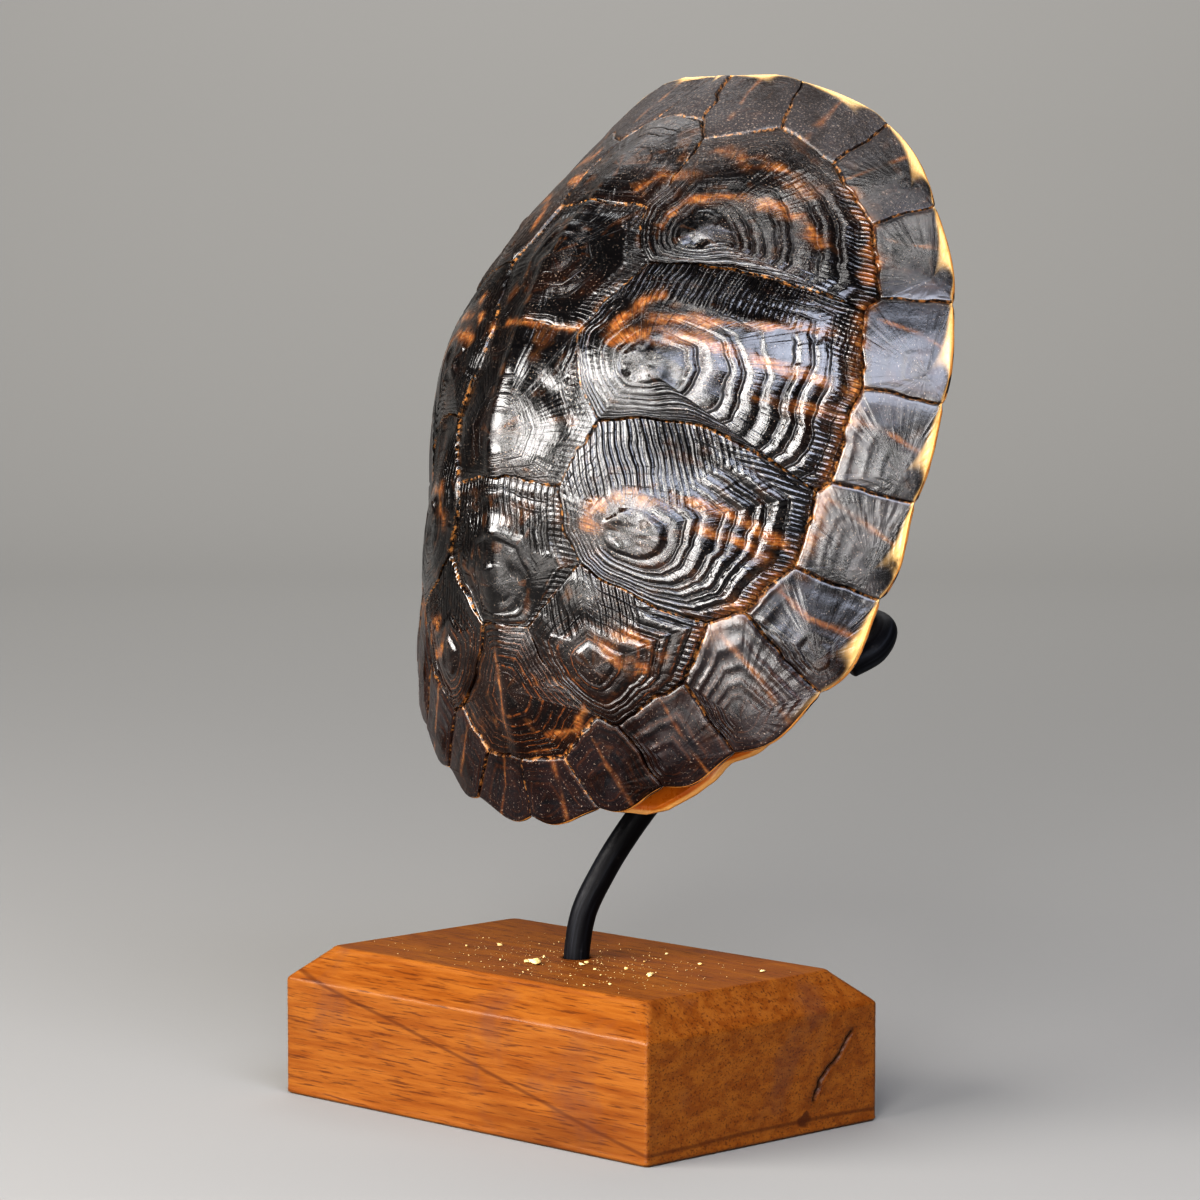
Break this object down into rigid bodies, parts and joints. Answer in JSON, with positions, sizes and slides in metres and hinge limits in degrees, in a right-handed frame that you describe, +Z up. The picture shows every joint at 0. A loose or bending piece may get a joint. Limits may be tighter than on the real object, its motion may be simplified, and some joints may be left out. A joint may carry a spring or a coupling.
{
  "type": "mounted turtle shell",
  "caption": "Dried turtle shell with ridged plates and a toothed rim, held upright by a bent steel rod on a chamfered wooden block.",
  "frame": {"origin": "centre of the block's underside", "axes": "+Z up; +X along the block's long side, which is also the animal's right; +Y away from the shell's back"},
  "size_m": [0.1533, 0.1117, 0.2387],
  "materials": {
    "stained_wood": "satin stain over fine straight grain",
    "blackened_steel": "satin black",
    "horn": "glossy dark horn with amber streaks"
  },
  "bodies": {
    "root": {"base_block": "stained_wood", "rod": "blackened_steel", "shell": "horn"}
  },
  "joints": []
}
